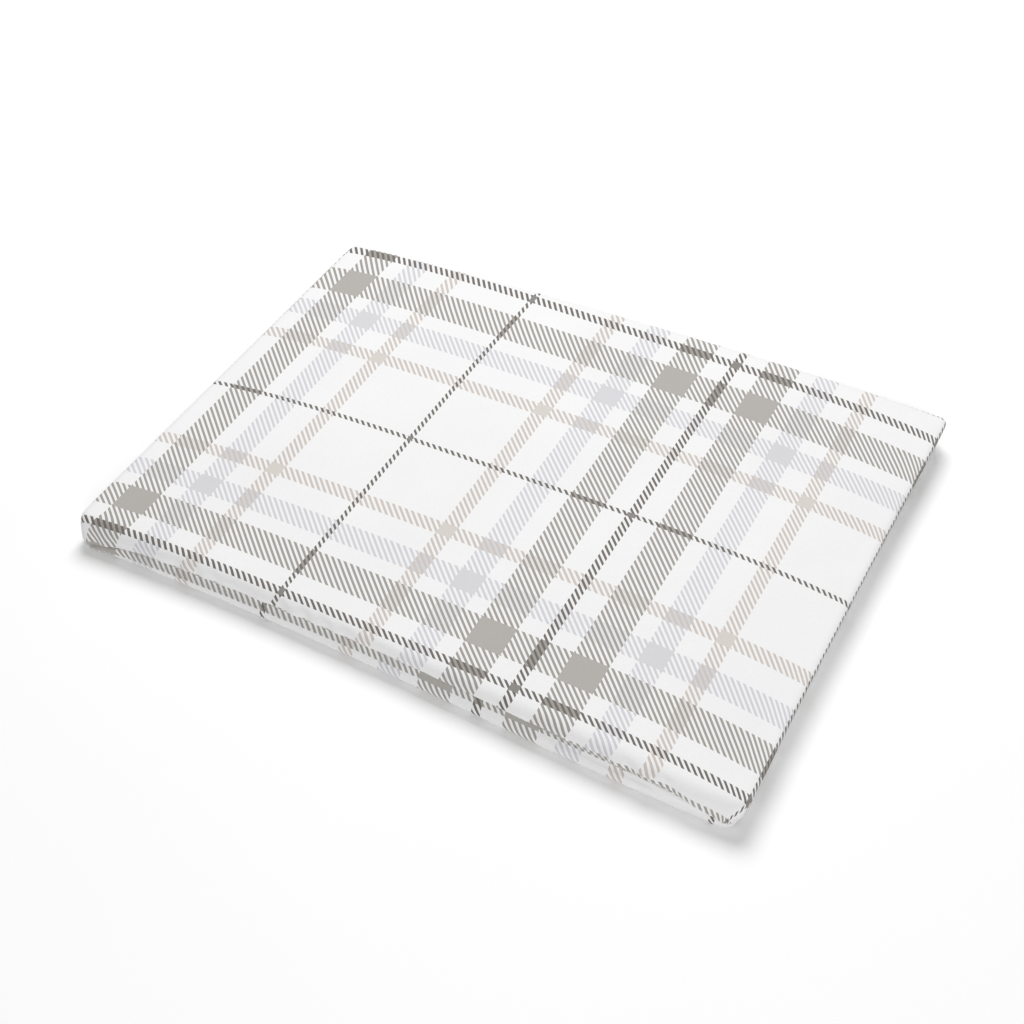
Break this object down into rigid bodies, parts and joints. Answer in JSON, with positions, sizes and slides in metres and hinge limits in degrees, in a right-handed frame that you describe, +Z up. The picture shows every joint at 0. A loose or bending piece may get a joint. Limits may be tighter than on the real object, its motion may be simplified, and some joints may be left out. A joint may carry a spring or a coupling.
{
  "type": "pet cushion bed",
  "caption": "Flat rectangular pet cushion bed: zipped woven plaid cover, foam slab wrapped in batting, sliding zip with hinged pull.",
  "frame": {"origin": "middle of the flat underside, on the floor", "axes": "+X along the length with the zip in the -X end, +Y to the back, +Z up"},
  "size_m": [1.0203, 0.7626, 0.058],
  "materials": {
    "printed_cotton": "matte woven",
    "thread": "matte",
    "case_lining": "matte woven",
    "polyester_batting": "matte fibrous",
    "foam": "matte open-cell",
    "zip_tape": "matte ribbed",
    "zip_coil": "satin",
    "zip_metal": "satin",
    "label_ribbon": "satin ribbon"
  },
  "bodies": {
    "bed": {"cover_top_panel": "printed_cotton", "cover_bottom_panel": "printed_cotton", "cover_seam_stitching": "thread", "cover_seam_overlock": "thread", "inner_case_top": "case_lining", "inner_case_bottom": "case_lining", "inner_case_seam_stitching": "thread", "batting_top": "polyester_batting", "batting_bottom": "polyester_batting", "foam_core": "foam", "zipper_tape_upper": "zip_tape", "zipper_tape_lower": "zip_tape", "zipper_coil_upper": "zip_coil", "zipper_coil_lower": "zip_coil", "zipper_bartacks": "thread", "zipper_topstitch_upper": "thread", "zipper_topstitch_lower": "thread", "care_label": "label_ribbon"},
    "slider": {"zipper_slider": "zip_metal"},
    "pull": {"zipper_pull": "zip_metal"}
  },
  "joints": [
    {"name": "zip_slide", "type": "slide", "parent": "bed", "child": "slider", "axis": [0, 1, 0], "range_m": [0, 0.594]},
    {"name": "pull_hinge", "type": "hinge", "parent": "slider", "child": "pull", "pos_m": [-0.5101, -0.297, 0.0259], "axis": [0, 0, 1], "range_deg": [0, 180]}
  ]
}
